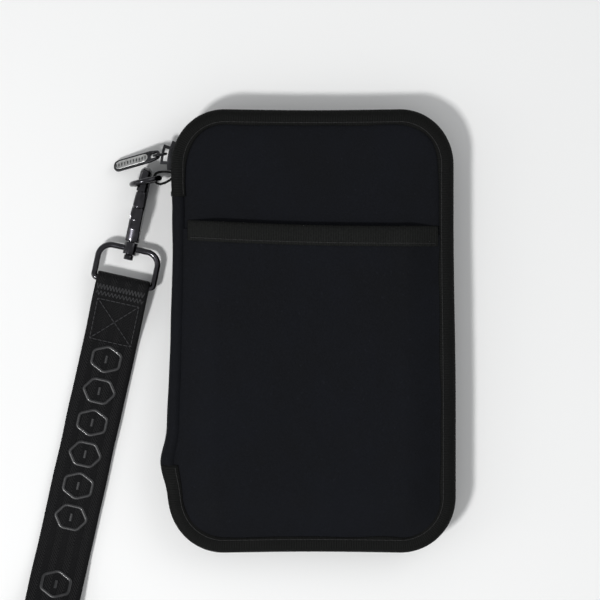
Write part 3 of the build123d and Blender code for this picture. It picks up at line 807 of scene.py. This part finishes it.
def plate_upright(name, node, material):
    """Thin cloth on an upright CAD plate beside the spine: a grid of y and z with small waves in x. It
    stops short of the plate's ends, clear of the tape end covers."""
    low, high = corners(node)
    short = 6.5
    y = np.linspace(low[1] + short, high[1] - short, 90)
    y, z = np.broadcast_arrays(y[:, None], np.linspace(low[2], high[2], 14)[None, :])
    wave = 0.06 * ripple(y, z, 24, 6)
    near = settled(np.stack([low[0] + wave, y, z], -1))
    far = settled(np.stack([high[0] + wave, y, z], -1))
    return slab(name, near, far, material)


def coil(name, start, end, pitch, front, material):
    """Zipper coil: each turn is an upright oblong loop, width from a cosine and height from a sine made
    squarer by a root, advanced along the outline; the front row is half a turn out of step."""
    turns = int((end - start) / pitch)
    angle = np.linspace(0, 2 * pi * turns, turns * 12 + 1)
    run = start + (end - start) * angle / angle[-1] + 0.32 * np.sin(angle * 2)
    phase = angle + (pi if front else 0)
    inset = 1.75 + 0.78 * np.sign(np.cos(phase)) * np.abs(np.cos(phase)) ** 0.7
    z = 8.72 + 1.72 * np.sign(np.sin(phase)) * np.abs(np.sin(phase)) ** 0.7
    x, y = rim(run, inset)
    path = settled(np.stack([x, y, turned(z, not front)], -1))
    ahead_x, ahead_y = rim(run + 0.05, inset)
    up = np.stack([ahead_x - x, ahead_y - y, np.zeros_like(run)], -1)
    return tube(name, path, 0.34, up, material, sides=5)


class POUCH_OT_zipper(bpy.types.Operator):
    """Zipper tapes, coil rows, end stops and the cloth tabs over the tape ends"""
    bl_idname = "pouch.zipper"
    bl_label = "Zipper"

    def execute(self, context):
        made, pitch = finishes(context), context.scene.pouch_sizes.coil_pitch / MM
        sewn, free, cord_height = 17.85, 11.0, 13.6
        wall = ([(2.65, z) for z in np.linspace(sewn, free, 8)]
                + [(3.3, z) for z in np.linspace(free, sewn, 8)])
        for side, start in (("back", BACK_ROW_START), ("front", FRONT_ROW_START)):
            front, body = side == "front", f"{side}_half"
            tape = round_rim(f"{side}_tape", wall, start - 3 if front else SPINE_END - 1,
                             GIRTH - SPINE_END + 1, made["zipper_tape"], front, step=1.5)
            placed(tape, body, "zipper_tape", f"{side}_zipper_tape")
            row = coil(f"{side}_coil", start, ROWS_END, pitch, front, made["coil"])
            placed(row, body, "zipper_coil", f"{side}_zipper_coil")
            x, y = rim(np.linspace(start, ROWS_END, 700), 2.35)
            path = settled(np.stack([x, y, np.full_like(x, turned(cord_height, front))], -1))
            cord = tube(f"{side}_coil_cord", path, 0.28, UP, made["thread"], sides=6)
            placed(cord, body, "zipper_coil")
        stops = softened("zipper_stops", "zipper_end_stops", 0.3, made["zipper_metal"])
        placed(stops, "back_half", "zipper_coil")
        tabs = softened("tape_end_tabs", "tape_end_covers", 0.25, made["lining"])
        placed(tabs, "back_half", "binding_tape")
        return {"FINISHED"}


def cloth_plate(name, node, corner, material, slot, body, waves=0.05):
    """Thin cloth that stands for a flat CAD plate, with that plate's flat size, and lies on another piece."""
    piece = placed(plate(name, node, corner, material, waves), body, slot, node)


class POUCH_OT_inside(bpy.types.Operator):
    """Linings, card slots, slip pocket and net pocket inside the covers"""
    bl_idname = "pouch.inside"
    bl_label = "Inside"

    def execute(self, context):
        made = finishes(context)
        for side in ("back", "front"):
            cloth_plate(f"{side}_inner_cloth", f"{side}_lining", 18.0, made["lining"], "lining",
                        f"{side}_half")
        pockets = [("inner_slip_pocket", "slip_pocket", 16.0)]
        pockets += [(f"card_slot_{k}", f"card_pocket_{k}", 4.0) for k in (1, 2, 3)]
        for node, name, corner in pockets:
            cloth_plate(name, node, corner, made["lining"], "lining", "back_half")
            low, high = corners(node)
            x = np.linspace(low[0] + corner, high[0] - corner, 60)
            edge = np.stack([x, np.full_like(x, high[1] - 1.4), np.full_like(x, high[2] + 0.16)], -1)
            hem = tube(f"{name}_hem", edge, 1.5, UP, made["tape"], sides=10, flat=0.16)
            placed(hem, "back_half", "binding_tape")
        cloth_plate("net_pocket", "inner_mesh_pocket", 15.0, made["mesh"], "mesh", "front_half",
                    waves=0.08)
        low, high = corners("mesh_pocket_elastic")
        across = np.linspace(low[0], high[0], 260)
        gather = 0.07 * np.sin(across * 2 * pi / 3.2)
        loop = np.array([(-4, -0.25), (-3.5, -0.42), (0, -0.45), (3.5, -0.42), (4, -0.25),
                         (4, 0.25), (3.5, 0.42), (0, 0.45), (-3.5, 0.42), (-4, 0.25)])
        y, z = ((low[k] + high[k]) / 2 + loop[None, :, k - 1] for k in (1, 2))
        points = np.stack(np.broadcast_arrays(across[:, None], y, z + gather[:, None]), -1)
        band = carried("net_pocket_elastic", points, across, made["elastic"])
        placed(band, "front_half", "elastic", "mesh_pocket_elastic")
        return {"FINISHED"}


class POUCH_OT_hardware(bpy.types.Operator):
    """Slider, link, pull tab, rings, hook, gate and swivel"""
    bl_idname = "pouch.hardware"
    bl_label = "Metal parts"

    def execute(self, context):
        made = finishes(context)
        rows = (
            ("zipper_slider", "slider_body", 0.45, "zipper_metal", "slider", "zipper_metal"),
            ("slider_link", "pull_link", 0.30, "zipper_metal", "slider_link", "zipper_metal"),
            ("pull_tab", "pull_plate", 0.28, "pull", "pull_tab", "pull_metal"),
            ("hook_body", "hook_frame", 0.35, "metal", "hook", "dark_metal"),
            ("gate_pin", "latch_pin", 0.12, "metal", "hook", "dark_metal"),
            ("swivel_post", "swivel_rivet", 0.45, "metal", "hook", "dark_metal"),
            ("strap_ring", "strap_bar_ring", 0.20, "metal", "strap_ring", "dark_metal"),
        )
        for node, name, width, finish, body, slot in rows:
            placed(softened(node, name, width, made[finish]), body, slot)
        lid = self.plate_on_hook("lid", made["metal"], (19.3, 2.7, 13.3, 12.66), (26.6, 2.4, 13.9, 12.66))
        tongue = self.plate_on_hook("tongue", made["metal"], (14.2, 1.25, 12.2, 9.6),
                                    (19.0, 1.25, 12.2, 10.4), (19.4, 1.25, 12.8, 10.5),
                                    (26.4, 1.25, 12.8, 11.9))
        placed(joined("hook_latch", [lid, tongue]), "hook_gate", "dark_metal", "hook_gate")
        saddle = self.plate_on_hook("hook_saddle", made["metal"], (3.4, 3.0, 9.8, 9.1),
                                    (9.0, 2.9, 10.9, 10.3), (13.2, 2.8, 13.0, 12.4),
                                    (19.0, 2.7, 13.3, 12.66))
        placed(saddle, "hook", "dark_metal")
        # The pull's pale face is a painted reflection of the light on the tab.
        placed(self.pull_glint_face(made["face"]), "pull_tab", "pull_metal")
        for node, finish in (("o_ring", "metal"), ("gate_spring", "steel")):
            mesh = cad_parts[node].data
            for index in range(len(mesh.materials)):
                mesh.materials[index] = made[finish]
        return {"FINISHED"}

    def plate_on_hook(self, name, material, *stations):
        """Plate lying along the hook, with a wide bevel on its left edge. A station gives its distance
        along the hook and the plate's half-width, top and underside there, with straight lines between,
        and the half-width shrinks by exponentials towards both ends."""
        along_hook = np.array([sin(RING_TILT), cos(RING_TILT), 0.0])
        across_hook = np.array([cos(RING_TILT), -sin(RING_TILT), 0.0])
        at, *shape = zip(*stations)
        run = np.linspace(at[0], at[-1], 60)
        half, top, under = (np.interp(run, at, values) for values in shape)
        half = half * (1 - 0.25 * np.exp(-(run - run[0]) / 0.3) - 0.15 * np.exp(-(run[-1] - run) / 0.3))
        section = np.array([(1, 0.45), (1, 0), (0.5, 0), (-0.5, 0), (-0.8, 0), (-1, 0), (-1, 0.1),
                            (-0.62, 0.96), (0, 1.06), (0.72, 1)])
        points = (SWIVEL + run[:, None, None] * along_hook
                  + half[:, None, None] * section[None, :, :1] * across_hook
                  + (under[:, None] + (top - under)[:, None] * section[None, :, 1])[..., None] * UP)
        return carried(name, points, run, material)

    def pull_glint_face(self, material):
        """Polished face let into the pull, pale as a painted reflection of the light: an oblong with elliptic
        ends, a little proud of the recess and lower towards its edges by a fourth power. The UV is the length
        along it and across it."""
        sideways = np.array([-sin(PULL_TURN), cos(PULL_TURN), 0.0])
        level = np.array([-cos(PULL_TURN), -sin(PULL_TURN), 0.0])
        along = level * cos(PULL_SLOPE) - UP * sin(PULL_SLOPE)
        out = (level * sin(PULL_SLOPE) + UP * cos(PULL_SLOPE)) * cos(PULL_LEAN) + sideways * sin(PULL_LEAN)
        across = np.cross(out, along)
        middle, half_length, half_width, end, straight = 11.4, 8.3, 2.15, 2.16, 6.15
        run = half_length * np.sin(np.linspace(-1, 1, 60) * pi / 2)
        past = np.clip((np.abs(run) - straight) / end, 0, 1)
        share = np.linspace(-1, 1, 13)
        span = (half_width * np.sqrt(np.maximum(1 - past ** 2, 0.003)))[:, None] * share[None, :]
        bed = PULL_EYE + (middle + run)[:, None, None] * along + span[..., None] * across
        lift = 0.70 - 0.10 * np.abs(share) ** 4
        uv = np.stack(np.broadcast_arrays(run[:, None], span), -1)
        return slab("pull_glint_face", bed + lift[None, :, None] * out, bed + 0.25 * out, material, uv)


class POUCH_OT_loop(bpy.types.Operator):
    """Ribbon loop that holds the clip's ring"""
    bl_idname = "pouch.loop"
    bl_label = "Ribbon loop"

    def execute(self, context):
        made = finishes(context)
        ring = sum(corners("o_ring")) / 2
        away = np.array([cos(STRAP_TILT), sin(STRAP_TILT), 0.0])
        aside = np.array([-sin(STRAP_TILT), cos(STRAP_TILT), 0.0])
        wire = ring + 6.6 * away
        angle = np.linspace(pi * 0.42, pi * 1.58, 40)
        arc = np.stack([2.75 * np.cos(angle) + 0.2, 2.8 * np.sin(angle)], -1)
        # The two layers run side by side from the spine and part round the ring's wire by a smooth step.
        tail, beside = -HALF_W + 5.0 - wire[0], 0.55
        run = np.linspace(tail, arc[0, 0], 24, endpoint=False)
        rise = smooth((tail - run) / (tail - arc[0, 0]))
        upper = np.stack([run, beside + (arc[0, 1] - beside) * rise], -1)
        line = np.concatenate([upper, arc, upper[::-1] * (1, -1)])
        path = wire + line[:, :1] * away + line[:, 1:] * aside
        tangent, length = along_path(path)
        out = np.cross(tangent, UP)
        section = np.array([(-0.45, -2.3), (-0.3, -2.5), (0.3, -2.5), (0.45, -2.3), (0.5, 0.0), (0.45, 2.3),
                            (0.3, 2.5), (-0.3, 2.5), (-0.45, 2.3), (-0.5, 0.0)])
        points = path[:, None] + out[:, None] * section[None, :, :1] + UP * section[None, :, 1:]
        band = carried("ribbon_loop", points, length, made["tape"])
        placed(band, "fabric_loop", "binding_tape", "fabric_loop")
        return {"FINISHED"}


def strap_line():
    """The webbing's middle line in its upright plane, (distance from the ring's bar, height): from the bar
    down to the table, out to the far fold, back on top of itself and round the bar. Each layer nears the
    bar by a smooth step, and the upper one rises to the fold by another."""
    far, bend, count = 175.0, 4.35, 900
    out = np.linspace(0.4, far, 300)
    near = 1 - smooth(out / BAR_REACH)
    low = np.stack([out, LOWER_LAYER + (BAR_HEIGHT - BAR_WRAP - LOWER_LAYER) * near], -1)
    turn = np.linspace(-pi / 2, pi / 2, 40)[1:-1]
    fold = np.stack([far + bend * np.cos(turn), LOWER_LAYER + bend + bend * np.sin(turn)], -1)
    rise = FAR_RISE * smooth((out - FAR_START) / FAR_SPAN)
    high = np.stack([out, UPPER_LAYER + rise + (BAR_HEIGHT + BAR_WRAP - UPPER_LAYER) * near], -1)[::-1]
    angle = np.linspace(pi / 2, 3 * pi / 2, 40)[1:-1]
    wrapped = np.stack([BAR_WRAP * np.cos(angle), BAR_HEIGHT + BAR_WRAP * np.sin(angle)], -1)
    line = np.concatenate([low, fold, high, wrapped])
    steps = np.linalg.norm(np.diff(line, axis=0, append=line[:1]), axis=1)
    length = np.concatenate([[0], steps.cumsum()])
    even = np.linspace(0, length[-1], count, endpoint=False)
    line = np.concatenate([line, line[:1]])
    return np.stack([np.interp(even, length, line[:, k]) for k in (0, 1)], -1), even


def on_strap(along, across, height):
    """Point on the strap from its distance along, its distance across and its height."""
    along, across, height = (part[..., None] for part in np.broadcast_arrays(along, across, height))
    return FOOT + along * ALONG + across * ACROSS + height * UP


def strap_top(along):
    """Height of the webbing's upper face at a distance along it, by the same smooth steps."""
    rise = FAR_RISE * smooth((along - FAR_START) / FAR_SPAN)
    near = 1 - smooth(along / BAR_REACH)
    return UPPER_LAYER + WEB_HALF + rise + (BAR_HEIGHT + BAR_WRAP - UPPER_LAYER) * near


class POUCH_OT_strap(bpy.types.Operator):
    """Wrist strap webbing with its sewing and raised motifs"""
    bl_idname = "pouch.strap"
    bl_label = "Wrist strap"

    def execute(self, context):
        made, sizes = finishes(context), context.scene.pouch_sizes
        line, length = strap_line()
        step = np.roll(line, -1, 0) - np.roll(line, 1, 0)
        step /= np.linalg.norm(step, axis=1, keepdims=True)
        out = np.stack([-step[:, 1], step[:, 0]], -1)
        across = np.linspace(-STRAP_HALF_W, STRAP_HALF_W, 25)
        thick = WEB_HALF - 0.22 * np.clip((np.abs(across) - 11.7) / 0.8, 0, 1)
        across, thick = np.concatenate([across, across[::-1]]), np.concatenate([thick, -thick[::-1]])
        face = line[:, None, :] + out[:, None, :] * thick[None, :, None]
        edge = 0.12 * ripple(length, 0, 31, 51)
        points = on_strap(face[..., 0], across[None, :] + edge[:, None] * np.sign(across), face[..., 1])
        band = carried("wrist_webbing", points, length, made["webbing"], closed=True)
        placed(band, "wrist_strap", "webbing", "strap_webbing")
        placed(self.sewing(made["strap_thread"]), "wrist_strap", "webbing")
        placed(self.motifs(sizes.motif / MM, made["print"]), "wrist_strap", "webbing")
        return {"FINISHED"}

    def sewing(self, material):
        """Bar of upright stitches, a zigzag row, and a box with a cross below them."""
        rows = []
        bar = np.linspace(2.6, 5.0, 8)
        bar_height = strap_top(bar) + 0.12 * np.sin(np.linspace(0, pi, 8)) - 0.05
        for k, across in enumerate(np.arange(-11.0, 11.01, 0.75)):
            lean = 0.35 * (-1) ** k
            path = on_strap(bar, across + lean * np.linspace(-1, 1, 8), bar_height)
            rows.append(tube(f"bar_{k}", path, 0.26, UP, material, sides=6))
        across = np.linspace(-11.2, 11.2, 240)
        zigzag = 6.9 + (2 / pi) * np.arcsin(np.sin(across * 2 * pi / 1.7))
        path = on_strap(zigzag, across, strap_top(zigzag) + 0.06)
        rows.append(tube("zigzag", path, 0.22, UP, material, sides=6))
        near, far, wide = 9.6, 28.6, 9.8
        box = ((near, -wide, near, wide), (near, wide, far, wide), (far, wide, far, -wide),
               (far, -wide, near, -wide), (near, -wide, far, wide), (near, wide, far, -wide))
        for k, (from_along, from_across, to_along, to_across) in enumerate(box):
            along, across = np.linspace(from_along, to_along, 60), np.linspace(from_across, to_across, 60)
            path = on_strap(along, across, strap_top(along) + 0.03)
            rows.append(stitches(f"box_{k}", path, UP, 2.6, material, radius=0.26, depth=0.8))
        return joined("strap_sewing", rows)

    def motifs(self, size, material):
        """Raised outlines along the strap: a hexagon with softened corners, every other one turned by half
        a side, and a short bar inside it."""
        rows = []
        first, gap, half_width = 36.8, size * 1.22, 7.6
        for k, place in enumerate((0, 1, 2, 3, 4, 5, 7.1, 8.1)):
            centre = first + place * gap
            turn = np.linspace(0, 2 * pi, 6, endpoint=False) + (pi / 6 if k % 2 else 0)
            corner = np.stack([size / 2 * np.cos(turn), half_width * np.sin(turn)], -1)
            closed = np.concatenate([corner, corner[:1]])
            part = np.linspace(0, 6, 120, endpoint=False)
            outline = np.stack([np.interp(part, np.arange(7), closed[:, i]) for i in (0, 1)], -1)
            outline = (outline + np.roll(outline, 3, 0) + np.roll(outline, -3, 0)) / 3
            along = centre + outline[:, 0]
            path = on_strap(along, outline[:, 1], strap_top(along))
            rows.append(tube(f"outline_{k}", path, 0.85, UP, material, closed=True, flat=0.38))
            along = np.linspace(centre - size * 0.15, centre + size * 0.15, 24)
            path = on_strap(along, 0.0, strap_top(along))
            rows.append(tube(f"inner_{k}", path, 0.8, UP, material, flat=0.38))
        return joined("strap_motifs", rows)


class POUCH_OT_stage(bpy.types.Operator):
    """Pale floor, soft lights and the camera"""
    bl_idname = "pouch.stage"
    bl_label = "Stage"

    def execute(self, context):
        scene = context.scene
        f = Finish("pale_table", (0.84, 0.84, 0.835), 0.6, specular=0.25)
        f.colour(f.blend_colours(f.noise(f.where(), 6.0, 2.0), (0.835, 0.835, 0.83), (0.85, 0.85, 0.845)))
        mesh = bpy.data.meshes.new("table")
        far, below = 4.0, -0.0001
        mesh.from_pydata([(x, y, below) for x, y in ((-far, -far), (far, -far), (far, far), (-far, far))],
                         [], [(0, 1, 2, 3)])
        mesh.materials.append(f.material)
        table = bpy.data.objects.new("table", mesh)
        scene.collection.objects.link(table)
        world = scene.world or bpy.data.worlds.new("World")
        scene.world = world
        world.use_nodes = True
        sky = world.node_tree.nodes["Background"].inputs
        sky["Color"].default_value = (0.97, 0.985, 1.0, 1)
        sky["Strength"].default_value = 0.46
        self.lamp(scene, "key", (-0.66, -0.56, 1.35), 0.20, 16.0)
        self.lamp(scene, "fill", (0.9, 0.5, 1.1), 0.9, 3.0)
        self.lamp(scene, "side", (-1.3, -0.25, 0.55), 0.7, 1.6)
        data = bpy.data.cameras.new("camera")
        camera = bpy.data.objects.new("camera", data)
        scene.collection.objects.link(camera)
        distance, mid_height, view, sensor = 1.4, 0.01, 0.279, 36.0
        data.sensor_width, data.lens = sensor, sensor * (distance - mid_height) / view
        camera.location = (-0.0056, 0.0143, distance)
        scene.camera = camera
        scene.view_settings.view_transform = "Standard"
        return {"FINISHED"}

    def lamp(self, scene, name, place, size, power):
        """Square lamp aimed at the middle of the pouch, its size in metres and its power in watts."""
        data = bpy.data.lights.new(name, "AREA")
        data.size, data.energy = size, power
        lamp = bpy.data.objects.new(name, data)
        scene.collection.objects.link(lamp)
        lamp.location = place
        lamp.rotation_euler = (-Vector(place)).to_track_quat("-Z", "Y").to_euler()


OPERATORS = (POUCH_OT_covers, POUCH_OT_pocket, POUCH_OT_bindings, POUCH_OT_spine, POUCH_OT_zipper,
             POUCH_OT_inside, POUCH_OT_hardware, POUCH_OT_loop, POUCH_OT_strap, POUCH_OT_stage)


class POUCH_PT_panel(bpy.types.Panel):
    """Sidebar panel with the sizes, the colours and the pieces"""
    bl_label = "Pouch"
    bl_idname = "POUCH_PT_panel"
    bl_space_type = "VIEW_3D"
    bl_region_type = "UI"
    bl_category = "Pouch"

    def draw(self, context):
        for group in (context.scene.pouch_sizes, context.scene.pouch_colours):
            for entry in group.__annotations__:
                self.layout.prop(group, entry)
        for operator in OPERATORS:
            self.layout.operator(operator.bl_idname)


CLASSES = (PouchSizes, PouchColours) + OPERATORS + (POUCH_PT_panel,)


def register():
    for entry in CLASSES:
        bpy.utils.register_class(entry)
    bpy.types.Scene.pouch_sizes = bpy.props.PointerProperty(type=PouchSizes)
    bpy.types.Scene.pouch_colours = bpy.props.PointerProperty(type=PouchColours)


def unregister():
    del bpy.types.Scene.pouch_sizes, bpy.types.Scene.pouch_colours
    for entry in reversed(CLASSES):
        bpy.utils.unregister_class(entry)


def main():
    """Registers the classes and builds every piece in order."""
    register()
    for operator in OPERATORS:
        group, call = operator.bl_idname.split(".")
        getattr(getattr(bpy.ops, group), call)()
    bpy.context.view_layer.update()


if __name__ == "__main__":
    main()
